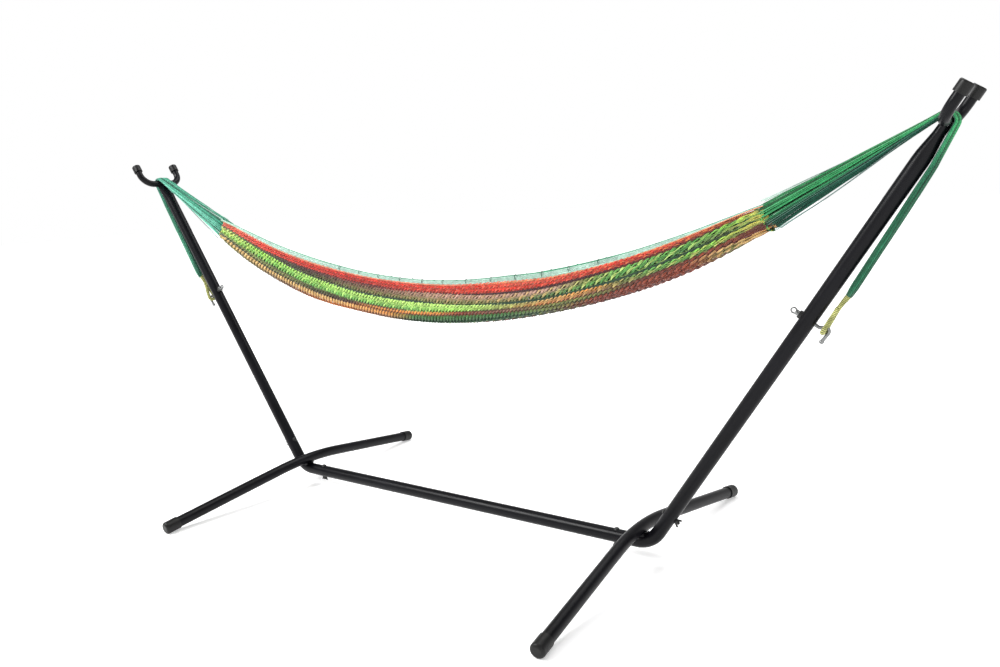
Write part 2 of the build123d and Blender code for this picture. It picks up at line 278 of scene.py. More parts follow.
def tubes(name, paths, radius, colours, material, sides=5):
    """One mesh of closed tubes: paths and linear colours are (count, points, 3)."""
    paths = np.asarray(paths, float)
    count, points, _ = paths.shape
    radius = np.broadcast_to(np.asarray(radius, float), (count, points))
    _, normal, binormal = frames(paths)
    angle = np.arange(sides) * TAU / sides
    ring = (normal[:, :, None, :] * np.cos(angle)[None, None, :, None]
            + binormal[:, :, None, :] * np.sin(angle)[None, None, :, None])
    verts = paths[:, :, None, :] + ring * radius[:, :, None, None]
    verts = verts.reshape(-1, 3)
    p = np.arange(count)[:, None, None] * points * sides
    i = np.arange(points - 1)[None, :, None] * sides
    k = np.arange(sides)[None, None, :]
    k2 = (k + 1) % sides
    a = p + i + k
    b = p + i + k2
    quads = np.stack([a, b, b + sides, a + sides], axis=-1).reshape(-1, 4)
    start = (np.arange(count) * points * sides)[:, None] + np.arange(sides)[None, ::-1]
    stop = (np.arange(count) * points * sides + (points - 1) * sides)[:, None] + np.arange(sides)
    mesh = bpy.data.meshes.new(name)
    loops = np.concatenate([quads.ravel(), start.ravel(), stop.ravel()])
    total = len(quads) + 2 * count
    mesh.vertices.add(len(verts))
    mesh.vertices.foreach_set("co", verts.astype(np.float32).ravel())
    mesh.loops.add(len(loops))
    mesh.loops.foreach_set("vertex_index", loops.astype(np.int32))
    mesh.polygons.add(total)
    starts = np.concatenate([np.arange(len(quads)) * 4,
                             len(quads) * 4 + np.arange(2 * count) * sides])
    mesh.polygons.foreach_set("loop_start", starts.astype(np.int32))
    mesh.update(calc_edges=True)
    tint = mesh.color_attributes.new("tint", "FLOAT_COLOR", "POINT")
    shade = np.ones((count, points, sides, 4))
    shade[..., :3] = np.asarray(colours)[:, :, None, :]
    tint.data.foreach_set("color", shade.astype(np.float32).ravel())
    step = np.linalg.norm(np.diff(paths, axis=1), axis=2)
    run = np.concatenate([np.zeros((count, 1)), np.cumsum(step, axis=1)], axis=1)
    run = run + rng.uniform(0, 0.05, (count, 1))
    u0 = np.broadcast_to(k / sides, (count, points - 1, sides))
    u1 = u0 + 1.0 / sides
    v0 = np.broadcast_to(run[:, :-1, None], u0.shape)
    v1 = np.broadcast_to(run[:, 1:, None], u0.shape)
    uv = np.stack([np.stack([u0, v0], -1), np.stack([u1, v0], -1), np.stack([u1, v1], -1),
                   np.stack([u0, v1], -1)], axis=-2).reshape(-1, 2)
    caps = np.zeros((2 * count * sides, 2))
    layer = mesh.uv_layers.new(name="along")
    layer.data.foreach_set("uv", np.concatenate([uv, caps]).astype(np.float32).ravel())
    mesh.shade_smooth()
    mesh.materials.append(material)
    obj = bpy.data.objects.new(name, mesh)
    bpy.context.collection.objects.link(obj)
    return obj


# ---- the gathered bed: plaited rolls of string --------------------------------------------

RED = lin(238, 66, 46)
DEEP_RED = lin(176, 40, 32)
CORAL = lin(240, 112, 84)
SALMON = lin(226, 140, 108)
MAROON = lin(66, 22, 22)
BROWN = lin(132, 98, 78)
DARK_BROWN = lin(74, 48, 34)
PINKISH = lin(196, 156, 138)
OLIVE = lin(122, 128, 68)
DARK_OLIVE = lin(70, 78, 42)
LIME = lin(156, 220, 88)
PALE_LIME = lin(198, 238, 128)
GREEN = lin(82, 150, 66)
MID_GREEN = lin(64, 116, 56)
DARK_GREEN = lin(26, 66, 38)
LEAF = lin(110, 182, 86)
ORANGE = lin(226, 150, 70)
DEEP_ORANGE = lin(196, 112, 44)
TAN = lin(220, 182, 116)
RUST = lin(138, 62, 38)
DARK_RUST = lin(104, 40, 26)
YELLOW = lin(206, 202, 92)
STRAW = lin(202, 210, 124)
TEAL = lin(72, 178, 132)
TEAL_DEEP = lin(22, 96, 68)
PALE_TEAL = lin(182, 216, 200)

POINTS = 540                      # along each string of the bed
ALONG = np.linspace(-1, 1, POINTS)
SKIN = 0.0085                     # the plaits' middle lies this far inside the bed's skin
SQUARENESS = 3.5                  # of the bed's section: 2 is an ellipse
CREASE_RADIUS = 0.0019
CREASE_STRINGS = 2
SECTION_ROUNDING = 61             # width of the window that rounds a table's corners, odd


def table(rows, x, column):
    """Value at x from rows that start with their own x."""
    return np.interp(x, [r[0] for r in rows], [r[column] for r in rows])


# the net hangs a little unevenly: how far each side's edges lie from the even section
NEAR_TOP = [(-1.1, 0.006), (-0.9, 0.012), (-0.6, 0.010), (-0.3, 0.005), (0.3, 0.003),
            (0.45, -0.003), (0.8, -0.003), (0.95, -0.005), (1.1, -0.003)]
NEAR_BOTTOM = [(-1.1, -0.008), (-0.9, -0.014), (-0.6, -0.016), (-0.3, -0.011), (0.0, 0.0),
               (0.3, 0.006), (0.8, 0.011), (1.0, 0.007), (1.1, 0.002)]
FAR_TOP = [(-1.1, -0.014), (-0.95, -0.024), (-0.7, -0.024), (-0.45, -0.016), (-0.2, -0.007),
           (0.1, -0.002), (1.1, 0.0)]
FAR_BOTTOM = [(-1.1, 0.0), (1.1, 0.0)]


def top_at(x, side):
    return mid_z(x) + bed_height(x) / 2 + table(NEAR_TOP if side < 0 else FAR_TOP, x, 1)


def bottom_at(x, side):
    return mid_z(x) - bed_height(x) / 2 + table(NEAR_BOTTOM if side < 0 else FAR_BOTTOM, x, 1)


def tall_at(x, side=-1):
    return (top_at(x, side) - bottom_at(x, side)) / 2


def level_at(x, side=-1):
    return (top_at(x, side) + bottom_at(x, side)) / 2


def smoothed(values):
    """Rounds off the corners of an interpolated table."""
    kernel = np.hanning(SECTION_ROUNDING)
    kernel /= kernel.sum()
    reach = SECTION_ROUNDING // 2
    padded = np.concatenate([np.full(reach, values[0]), values, np.full(reach, values[-1])])
    return np.convolve(padded, kernel, mode="valid")


def along_colours(stops, x):
    """Colour along the bed from (x, colour) stops."""
    xs = [s[0] for s in stops]
    return np.stack([np.interp(x, xs, [s[1][c] for s in stops]) for c in range(3)], axis=-1)


def bed_line(places, side, seed):
    """Line along the bed on its skin: x, centre, outward and crosswise directions, half width."""
    share_end = table(places, np.array([-1.1, 1.1]), 1)
    low = -HALF - 0.004 + 0.020 * (1 + share_end[0])
    high = HALF + 0.012 - 0.020 * (1 + share_end[1])
    x = low + (high - low) * (ALONG + 1) / 2
    z = smoothed(table(places, x, 1))
    half = smoothed(table(places, x, 2))
    tall, wide = tall_at(x, side), bed_width(x) / 2
    y = (1 - np.abs(z) ** SQUARENESS) ** (1 / SQUARENESS)
    ny = y ** (SQUARENESS - 1) / wide
    nz = np.sign(z) * np.abs(z) ** (SQUARENESS - 1) / tall
    size = np.hypot(ny, nz)
    face = np.stack([np.zeros_like(x), side * ny / size, nz / size], axis=-1)
    across = np.stack([np.zeros_like(x), -side * nz / size, ny / size], axis=-1)
    body = np.stack([x, side * y * wide + 0.0014 * wander(x, 0.55, seed + 50),
                     level_at(x, side) + z * tall + 0.0010 * wander(x, 0.7, seed + 90)], axis=-1)
    body = body - face * SKIN
    return x, body, face, across, 1.14 * half * tall


# length of one full wave of the plait along the bed: the net is drawn out towards its ends
WAVE = [(-1.1, 0.060), (-0.8, 0.044), (-0.4, 0.040), (0.3, 0.040), (0.6, 0.046), (0.8, 0.058),
        (1.1, 0.080)]


def roll(places, side, upper, lower, rows=2, depth=0.0034, bulge=0.006, lean=0.4, seed=0, sub=2,
         accent=None):
    """One fold of the net lying along the bed's skin: rows of small plaits side by side."""
    r = np.random.default_rng(seed)
    x, body, face, across, size = bed_line(places, side, seed)
    size = size * (1 + 0.05 * wander(x, 0.4, seed + 20))
    # the plait opens into straight strings at the bed's ends, more slowly at the right
    ends = smooth(0, 0.05, x + HALF) * smooth(0.0, 0.15, HALF - x)
    slow = np.concatenate([[0], np.cumsum(np.diff(x) / table(WAVE, x[1:], 1))])
    thick = np.clip(size / rows * 0.22, 0.0010, 0.0019)
    amp = np.maximum(size / rows - thick, 0.0008)
    paths, radii, colours = [], [], []
    for row in range(rows):
        share = ((2 * row + 1) / rows - 1)
        start = r.uniform(0, TAU)
        for m in range(3):
            th = TAU * slow + start + TAU * m / 3 + 0.25 * wander(x, 0.21, seed + 5 * row)
            flat = (2 * (m + 0.5) / 3 - 1) * size / rows * 0.9
            v = size * share * 0.95 + amp * np.sin(th) * ends + flat * (1 - ends)
            u = np.clip(v / np.maximum(size, 1e-4), -0.99, 0.99)
            w = depth * ((1 - lean) * np.sin(2 * th) + lean * np.cos(th)) * ends
            w = w + bulge * (np.sqrt(1 - u * u) - 1) * np.clip(size / 0.012, 0.3, 1)
            path = body + across * v[:, None] + face * w[:, None]
            t = np.gradient(path, axis=0)
            t /= np.linalg.norm(t, axis=1, keepdims=True)
            n = face - t * np.sum(t * face, axis=1, keepdims=True)
            n /= np.linalg.norm(n, axis=1, keepdims=True)
            b = np.cross(t, n)
            # upper and lower colours: the strings' own stripes, and painted shade, as the lower
            # half of each roll is darker
            mix = smooth(-0.55, 0.55, u)[:, None]
            base = along_colours(upper, x) * mix + along_colours(lower, x) * (1 - mix)
            if accent and m == 0:
                base = base * 0.35 + along_colours(accent, x) * 0.65
            # painted light and shade: a strand is lighter where it passes over its neighbours and
            # darker where it passes under them
            base = base * (1 + 0.28 * np.cos(th) * ends)[:, None]
            twist = TAU * x / 0.09 + r.uniform(0, TAU)
            for k in range(sub):
                q = twist + TAU * k / sub
                p = path + n * (np.cos(q) * thick * 0.9)[:, None]
                p = p + b * (np.sin(q) * thick * 1.1)[:, None]
                p[:, 0] = np.clip(p[:, 0], -HALF - 0.004, HALF + 0.014)
                paths.append(p)
                radii.append(thick)
                shade = 1 + 0.10 * r.standard_normal()
                shade = shade + 0.16 * wander(x, 0.11, int(r.integers(9999)))
                colours.append(base * np.clip(shade, 0.5, 1.5)[:, None])
    return np.array(paths), np.array(radii), np.array(colours)


def creases(rows, side, stops, seed):
    """Straight dark strings that lie in the groove between two rolls: painted shade in the groove.
    """
    r = np.random.default_rng(seed)
    x, body, face, across, _ = bed_line(rows, side, seed)
    paths, radii, colours = [], [], []
    for k in range(CREASE_STRINGS):
        v = (k - (CREASE_STRINGS - 1) / 2) * CREASE_RADIUS * 1.7
        v = v + 0.0008 * wander(x, 0.4, seed + 7 * k)
        p = body + across * v[:, None] + face * (0.001 * wander(x, 0.3, seed + 11 * k))[:, None]
        paths.append(p)
        radii.append(np.full(POINTS, CREASE_RADIUS))
        colours.append(along_colours(stops, x) * (1 + 0.1 * r.standard_normal()))
    return np.array(paths), np.array(radii), np.array(colours)


def join(parts):
    """Paths, radii and colours of several groups of strings in one."""
    return [np.concatenate([p[i] for p in parts]) for i in range(3)]


# The rolls from the top down: x, level of the roll's middle and half its width, both as
# shares of half the bed's height.
ROLL_1 = [(-1.10, 0.84, 0.22), (-0.95, 0.72, 0.21), (-0.80, 0.66, 0.20), (-0.60, 0.64, 0.19),
          (-0.40, 0.67, 0.18), (-0.10, 0.70, 0.19), (0.10, 0.645, 0.20), (0.30, 0.55, 0.22),
          (0.45, 0.53, 0.20), (0.60, 0.56, 0.17), (0.75, 0.62, 0.15), (0.92, 0.78, 0.12),
          (1.03, 0.90, 0.075), (1.09, 0.92, 0.07)]
ROLL_2 = [(-1.10, 0.58, 0.04), (-0.80, 0.42, 0.05), (-0.60, 0.31, 0.11), (-0.45, 0.30, 0.18),
          (-0.10, 0.27, 0.20), (0.10, 0.18, 0.20), (0.30, 0.01, 0.19), (0.50, 0.0, 0.22),
          (0.70, 0.11, 0.21), (0.90, 0.24, 0.22), (1.00, 0.37, 0.27), (1.09, 0.50, 0.31)]
ROLL_3 = [(-1.10, 0.23, 0.28), (-0.80, 0.09, 0.27), (-0.60, -0.04, 0.25),
          (-0.40, -0.13, 0.23), (-0.20, -0.18, 0.22), (-0.05, -0.21, 0.21),
          (0.12, -0.255, 0.17), (0.30, -0.38, 0.14), (0.47, -0.43, 0.14), (0.70, -0.36, 0.17),
          (0.85, -0.27, 0.17), (1.00, -0.18, 0.19), (1.10, -0.07, 0.21)]
ROLL_4 = [(-1.10, -0.15, 0.10), (-0.80, -0.28, 0.10), (-0.55, -0.42, 0.10),
          (-0.30, -0.46, 0.08), (-0.05, -0.53, 0.10), (0.13, -0.51, 0.08), (0.30, -0.59, 0.07),
          (0.50, -0.66, 0.09), (0.70, -0.61, 0.09), (0.92, -0.56, 0.11), (1.03, -0.56, 0.18),
          (1.10, -0.54, 0.23)]
ROLL_5 = [(-1.10, -0.50, 0.22), (-0.80, -0.56, 0.18), (-0.50, -0.72, 0.19),
          (-0.30, -0.68, 0.15), (-0.05, -0.81, 0.16), (0.13, -0.79, 0.17), (0.30, -0.79, 0.14),
          (0.50, -0.85, 0.11), (0.75, -0.80, 0.11), (0.92, -0.80, 0.13), (1.10, -0.91, 0.09)]


def between(above, below):
    """Where the groove between two rolls lies."""
    xs = np.linspace(-1.1, 1.1, 23)
    low = table(above, xs, 1) - table(above, xs, 2)
    high = table(below, xs, 1) + table(below, xs, 2)
    return [(a, b, 0.0) for a, b in zip(xs, (low + high) / 2)]


# colours along the upper and lower half of each roll: the strings' own stripes, with painted shade
# in the darker lower halves
RED_UP = [(-1.1, SALMON), (-0.9, RED), (0.2, RED), (0.35, CORAL), (0.7, RED), (0.95, CORAL),
          (1.08, SALMON)]
RED_LOW = [(-1.1, CORAL), (-0.8, RED), (-0.3, DEEP_RED), (0.3, RED), (0.8, DEEP_RED), (1.0, RUST)]
RED_SPOT = [(-1.1, CORAL), (-0.4, DEEP_RED), (0.0, CORAL), (0.5, CORAL), (1.0, ORANGE)]
BROWN_UP = [(-1.1, DARK_OLIVE), (-0.6, DARK_BROWN), (-0.25, BROWN), (0.1, PINKISH),
            (0.45, PINKISH), (0.58, OLIVE), (0.70, LEAF), (0.92, GREEN), (1.0, LIME),
            (1.07, YELLOW)]
BROWN_LOW = [(-1.1, DARK_GREEN), (-0.6, DARK_OLIVE), (-0.3, OLIVE), (0.3, OLIVE),
             (0.45, MID_GREEN), (0.6, GREEN), (0.9, MID_GREEN), (1.0, OLIVE), (1.07, YELLOW)]
BROWN_SPOT = [(-1.1, GREEN), (-0.6, MAROON), (-0.2, BROWN), (0.4, TAN), (0.6, STRAW),
              (0.9, PALE_LIME), (0.98, MID_GREEN), (1.08, GREEN)]
LIME_UP = [(-1.1, STRAW), (-0.85, LIME), (-0.1, PALE_LIME), (0.15, PALE_LIME), (0.3, STRAW),
           (0.42, TAN), (0.6, ORANGE), (0.68, OLIVE), (0.8, LEAF), (0.95, LIME), (1.05, YELLOW)]
LIME_LOW = [(-1.1, LIME), (-0.8, LEAF), (-0.1, LEAF), (0.12, LIME), (0.28, OLIVE),
            (0.42, DEEP_ORANGE), (0.62, BROWN), (0.75, OLIVE), (0.9, MID_GREEN), (1.05, OLIVE)]
LIME_SPOT = [(-1.1, YELLOW), (-0.7, PALE_LIME), (0.2, PALE_LIME), (0.45, TAN), (0.6, TAN),
             (0.8, STRAW), (1.05, YELLOW)]
ORANGE_UP = [(-1.1, OLIVE), (-0.7, OLIVE), (-0.55, DARK_OLIVE), (-0.35, DARK_BROWN),
             (-0.22, ORANGE), (0.0, ORANGE), (0.12, RUST), (0.3, BROWN), (0.45, OLIVE),
             (0.62, OLIVE), (0.74, DARK_RUST), (0.95, RUST), (1.1, DARK_BROWN)]
ORANGE_LOW = [(-1.1, DARK_OLIVE), (-0.4, MAROON), (-0.2, DEEP_ORANGE), (0.05, RUST),
              (0.3, DARK_RUST), (0.5, DARK_OLIVE), (0.7, MAROON), (1.1, DARK_RUST)]
BASE_UP = [(-1.1, TAN), (-0.7, TAN), (-0.45, TAN), (-0.2, ORANGE), (-0.08, MID_GREEN),
           (0.3, MID_GREEN), (0.48, OLIVE), (0.6, RUST), (0.88, RUST), (1.0, TAN)]
BASE_LOW = [(-1.1, OLIVE), (-0.7, BROWN), (-0.45, DEEP_ORANGE), (-0.22, BROWN), (-0.1, DARK_GREEN),
            (0.4, DARK_GREEN), (0.58, DARK_RUST), (0.9, RUST), (1.0, OLIVE), (1.1, ORANGE)]
FAR_GREEN_UP = [(-1.1, LEAF), (0.0, GREEN), (1.1, TEAL)]
FAR_GREEN_LOW = [(-1.1, MID_GREEN), (0.0, DARK_GREEN), (1.1, MID_GREEN)]
FAR_GOLD_UP = [(-1.1, YELLOW), (0.0, ORANGE), (1.1, TAN)]
FAR_GOLD_LOW = [(-1.1, ORANGE), (0.0, DEEP_ORANGE), (1.1, RUST)]
# darker colours for some folds inside the bundle: painted shade there
SHADED_FOLDS = [[(-1.1, DARK_GREEN), (0.0, MAROON), (1.1, DARK_GREEN)],
         [(-1.1, DARK_OLIVE), (0.0, DARK_GREEN), (1.1, DARK_BROWN)]]
INNERS = [[(-1.1, LEAF), (0.0, GREEN), (1.1, TEAL)], [(-1.1, MID_GREEN), (1.1, GREEN)],
          [(-1.1, OLIVE), (0.0, BROWN), (1.1, LEAF)]]
# dark colours of the strings in the grooves between the rolls: painted shade
GROOVE_SHADE_1 = [(-1.1, DARK_GREEN), (-0.6, MAROON), (0.6, MAROON), (0.8, DARK_RUST), (1.1, DARK_GREEN)]
GROOVE_SHADE_2 = [(-1.1, DARK_BROWN), (-0.3, DARK_GREEN), (0.9, DARK_GREEN), (1.1, DARK_OLIVE)]
GROOVE_SHADE_3 = [(-1.1, DARK_OLIVE), (-0.3, DARK_BROWN), (0.6, DARK_BROWN), (1.1, DARK_RUST)]

near_top = join([
    roll(ROLL_1, -1, RED_UP, RED_LOW, rows=3, depth=0.0026, lean=0.1, seed=1, accent=RED_SPOT),
    roll(ROLL_2, -1, BROWN_UP, BROWN_LOW, lean=0.5, seed=2, accent=BROWN_SPOT),
    creases(between(ROLL_1, ROLL_2), -1, GROOVE_SHADE_1, 61),
    creases(between(ROLL_2, ROLL_3), -1, GROOVE_SHADE_2, 62),
])
near_low = join([
    roll(ROLL_3, -1, LIME_UP, LIME_LOW, lean=0.35, seed=3, accent=LIME_SPOT),
    roll(ROLL_4, -1, ORANGE_UP, ORANGE_LOW, rows=1, bulge=0.004, sub=3, seed=4),
    roll(ROLL_5, -1, BASE_UP, BASE_LOW, rows=1, bulge=0.004, sub=3, seed=5),
    creases(between(ROLL_3, ROLL_4), -1, GROOVE_SHADE_3, 63),
    creases(between(ROLL_4, ROLL_5), -1, GROOVE_SHADE_3, 67),
])
far_top = join([
    roll(ROLL_1, 1, FAR_GOLD_UP, FAR_GOLD_LOW, rows=3, depth=0.0026, lean=0.1, seed=6),
    roll(ROLL_2, 1, FAR_GREEN_UP, FAR_GREEN_LOW, lean=0.4, seed=7, accent=LIME_SPOT),
    creases(between(ROLL_1, ROLL_2), 1, GROOVE_SHADE_3, 64),
    creases(between(ROLL_2, ROLL_3), 1, GROOVE_SHADE_2, 65),
])
far_low = join([
    roll(ROLL_3, 1, RED_UP, RED_LOW, lean=0.2, seed=8, accent=RED_SPOT),
    roll(ROLL_4, 1, BASE_UP, ORANGE_LOW, rows=1, bulge=0.004, sub=3, seed=9),
    roll(ROLL_5, 1, LIME_LOW, BASE_LOW, rows=1, bulge=0.004, sub=3, seed=10),
    creases(between(ROLL_3, ROLL_4), 1, GROOVE_SHADE_1, 66),
    creases(between(ROLL_4, ROLL_5), 1, GROOVE_SHADE_3, 68),
])


def filler(y, z, half, facing, stops, seed, strands=3):
    """A fold inside the bundle: along the trough's walls, under its floor, at the bottom."""
    r = np.random.default_rng(seed)
    x = np.linspace(-1, 1, 330) * (HALF - 0.016)
    wide = bed_width(x) / 2
    top = np.minimum(top_at(x, -1), top_at(x, 1)) - 0.002
    bottom = np.maximum(bottom_at(x, -1), bottom_at(x, 1))
    tall = (top - bottom) / 2
    body = np.stack([x, y * wide + 0.0012 * wander(x, 0.5, seed),
                     (top + bottom) / 2 + z * tall + 0.0012 * wander(x, 0.6, seed + 3)], axis=-1)
    a = math.radians(facing)
    face = np.array([0.0, math.cos(a), math.sin(a)])
    across = np.array([0.0, -math.sin(a), math.cos(a)])
    size = half * tall
    ends = smooth(0, 0.07, x + HALF) * smooth(0.015, 0.17, HALF - x)
    phase = TAU * x / 0.05 + r.uniform(0, TAU)
    thick = np.clip(size * 0.16, 0.0012, 0.0026)
    paths, radii, colours = [], [], []
    for m in range(strands):
        th = phase + TAU * m / strands
        v = (size - thick * 2) * (np.sin(th) * ends + (2 * (m + 0.5) / strands - 1) * (1 - ends))
        w = 0.0030 * np.sin(2 * th) * ends
        for s in range(2):
            q = TAU * x / 0.07 + math.pi * s
            p = body + across[None, :] * (v + thick * np.cos(q))[:, None]
            paths.append(p + face[None, :] * (w + thick * np.sin(q))[:, None])
            radii.append(thick)
            shade = 1 + 0.12 * r.standard_normal()
            colours.append(along_colours(stops[m % len(stops)], x) * np.clip(shade, 0.6, 1.4))
    return np.array(paths), np.array(radii), np.array(colours)


# the folds with the darker colour lists are painted shade inside the bundle
inside = join([
    filler(-0.44, 0.52, 0.24, 0, INNERS, 11),
    filler(0.44, 0.52, 0.24, 180, SHADED_FOLDS, 12),
    filler(-0.44, 0.10, 0.24, 0, SHADED_FOLDS, 13),
    filler(0.44, 0.10, 0.24, 180, INNERS, 14),
    filler(0.0, -0.28, 0.28, 90, INNERS, 15, 5),
    filler(-0.36, -0.42, 0.28, 0, SHADED_FOLDS, 16),
    filler(0.36, -0.42, 0.28, 0, SHADED_FOLDS, 17),
    filler(-0.34, -0.84, 0.24, 270, [BASE_UP, BASE_LOW], 18, 4),
    filler(0.0, -0.90, 0.24, 270, [BASE_LOW, ORANGE_LOW], 19, 4),
    filler(0.34, -0.84, 0.24, 270, [BASE_LOW, LIME_LOW], 20, 4),
])

OUTER_NET, INNER_NET = 0.17, 0.50  # flat widths of the net's five parts
bed_pieces = []
for name, (paths, radius, colours), cloth in (
    ("net_near_upper", near_top, OUTER_NET),
    ("net_near_lower", near_low, OUTER_NET),
    ("net_far_upper", far_top, OUTER_NET),
    ("net_far_lower", far_low, OUTER_NET),
    ("net_inside", inside, INNER_NET),
):
    piece = tubes(name, paths, radius, colours, string_mat,
                  sides=4 if name == "net_inside" else 5)
    bed_pieces.append((piece, cloth))

# ---- open net bands along the two long edges ----------------------------------------------

RIM = 0.99                        # level of the net's edge, as a share of half the height
HIGHEST_BRIM = 0.975              # the top roll never covers the edge net completely
NET_LINES = 8                     # strings along each band, the first one is its thick cord
NET_WAVES = 4                     # waving strings across each band
NET_WAVE_LENGTH = 0.085
NET_SINK = 0.0015                 # the band lies this much below its place in the section
TIE_POINTS = 26


def roll_brim(x):
    """Level of the top roll's upper edge."""
    return table(ROLL_1, x, 1) + table(ROLL_1, x, 2)


def band_line(x, side, brim, share, under):
    """Line along an edge band; share runs from 0 at the rim to 1, just under the top roll."""
    z = RIM - (RIM - brim + under) * share
    y = 0.52 + 0.20 * share
    return y * bed_width(x) / 2, level_at(x, side) + z * tall_at(x, side) - NET_SINK


edge_pieces = []
for label, side in (("near", -1), ("far", 1)):
    r = np.random.default_rng(31 + side)
    x = ALONG * (HALF - 0.020)
    brim = np.clip(smoothed(roll_brim(x)), 0, HIGHEST_BRIM)
    paths, radii, colours = [], [], []
    for k in range(NET_LINES):
        y, z = band_line(x, side, brim, k / (NET_LINES - 1), 0.05)
        paths.append(np.stack([x, side * (y + 0.0005 * wander(x, 0.5, 300 + k + side)),
                               z + 0.0004 * wander(x, 0.35, 200 + k + side)], axis=-1))
        radii.append(np.full(POINTS, 0.0013 if k else 0.0018))
        base = np.tile(TEAL * 0.5 + TEAL_DEEP * 0.3 if k == 0 else PALE_TEAL, (POINTS, 1))
        if k >= NET_LINES - 2:
            base = along_colours([(-1.1, TEAL), (-0.95, SALMON), (0.1, SALMON), (0.4, TAN),
                                  (1.1, SALMON)], x)
        shade = 1 + 0.08 * r.standard_normal() + 0.08 * wander(x, 0.3, 400 + k)
        colours.append(base * shade[:, None])
    # more strings cross the band in shallow waves, which ties it into a net
    for k in range(NET_WAVES):
        share = 0.5 + 0.46 * np.sin(TAU * x / NET_WAVE_LENGTH + k * TAU / NET_WAVES)
        y, z = band_line(x, side, brim, share, 0.02)
        paths.append(np.stack([x, side * y, z], axis=-1))
        radii.append(np.full(POINTS, 0.0010))
        colours.append(np.tile(PALE_TEAL * 0.85, (POINTS, 1)))
    strip = tubes("edge_net_" + label, np.array(paths), np.array(radii), np.array(colours),
                  net_mat)
    # loops of dark string round the band, every 94 mm along its middle
    ties, tie_radii, tie_colours = [], [], []
    for x0 in np.arange(-0.42, 0.62, 0.094):
        x0 = x0 + r.uniform(-0.006, 0.006)
        q = TAU * np.linspace(0, 1, TIE_POINTS)
        one = np.array([x0])
        t, w = tall_at(one, side)[0], bed_width(one)[0] / 2
        top = min(float(roll_brim(one)[0]), HIGHEST_BRIM)
        zc = level_at(one, side)[0] + t * (RIM + top) / 2 - NET_SINK
        hz = t * (RIM - top) / 2 + 0.0026
        ties.append(np.stack([x0 + 0.001 * np.sin(2 * q), side * w * 0.60 + 0.0044 * np.cos(q),
                              zc + hz * np.sin(q)], axis=-1))
        tie_radii.append(np.full(TIE_POINTS, 0.0010))
        tie_colours.append(np.tile(TEAL_DEEP * 0.55, (TIE_POINTS, 1)))
    tie = tubes("edge_ties_" + label, np.array(ties), np.array(tie_radii),
                np.array(tie_colours), net_mat)
    for piece in (strip, tie):
        edge_pieces.append(piece)


# ---- end strings: bed to fork, over the saddle and down the outside of the post -----------

ARC_STEPS = 12


def filleted(points, radius):
    """Line of straight runs joined by arcs, and the distance along it."""
    out = [points[0]]
    for i in range(1, len(points) - 1):
        a, b, c = points[i - 1], points[i], points[i + 1]
        u = (a - b) / np.linalg.norm(a - b)
        v = (c - b) / np.linalg.norm(c - b)
        half = math.acos(np.clip(u @ v, -1, 1)) / 2
        cut = radius / math.tan(half)
        centre = b + (u + v) / np.linalg.norm(u + v) * radius / math.sin(half)
        p, q = b + u * cut - centre, b + v * cut - centre
        sweep = math.pi - 2 * half
        for k in range(ARC_STEPS + 1):
            f = k / ARC_STEPS
            s = (math.sin((1 - f) * sweep) * p + math.sin(f * sweep) * q) / math.sin(sweep)
            out.append(centre + s)
    out.append(points[-1])
    out = np.array(out)
    d = np.concatenate([[0], np.cumsum(np.linalg.norm(np.diff(out, axis=0), axis=1))])
    s = np.concatenate([np.linspace(0, d[1], 14)[:-1], d[1:-1], np.linspace(d[-2], d[-1], 16)[1:]])
    return np.stack([np.interp(s, d, out[:, c]) for c in range(3)], axis=-1), s


# corners of the strings' route at the fork: outwards from the post's axis, past the saddle
CORNERS = [(-0.0105, 0.0211), (0.017, 0.0163), (0.0305, -0.093)]
BEND = 0.0186                     # radius of their middle at those corners
tail_stop = on_post(HOOK + 0.104, 0.0455)
bed_end = np.array([HALF - 0.008, 0.0, 0.987])
spine, run = filleted([bed_end] + [on_post(SADDLE + up, out) for out, up in CORNERS]
                      + [tail_stop], BEND)
way = np.gradient(spine, axis=0)
way /= np.linalg.norm(way, axis=1, keepdims=True)
lift = np.cross(way, np.array([0.0, 1.0, 0.0]))
lift = lift / np.linalg.norm(lift, axis=1, keepdims=True)
total = run[-1]
saddle_at = run[np.argmin(np.linalg.norm(spine - on_post(SADDLE + 0.0188), axis=1))]
# half the bundle's width and height along the route
half_w = np.interp(run, [0, saddle_at - 0.05, saddle_at, saddle_at + 0.1, saddle_at + 0.25,
                         total - 0.02, total],
                   [0.0275, 0.0215, 0.0245, 0.0170, 0.0152, 0.0135, 0.0095])
half_h = np.interp(run, [0, 0.05, saddle_at - 0.06, saddle_at, saddle_at + 0.04, saddle_at + 0.11,
                         saddle_at + 0.22, total - 0.008, total],
                   [0.0355, 0.0305, 0.0068, 0.0046, 0.0048, 0.0066, 0.0080, 0.0084, 0.0066])


def boxy(q):
    """Point at angle q of a unit circle pulled out towards a square."""
    x, y = math.cos(q), math.sin(q)
    return math.copysign(abs(x) ** 0.72, x), math.copysign(abs(y) ** 0.72, y)


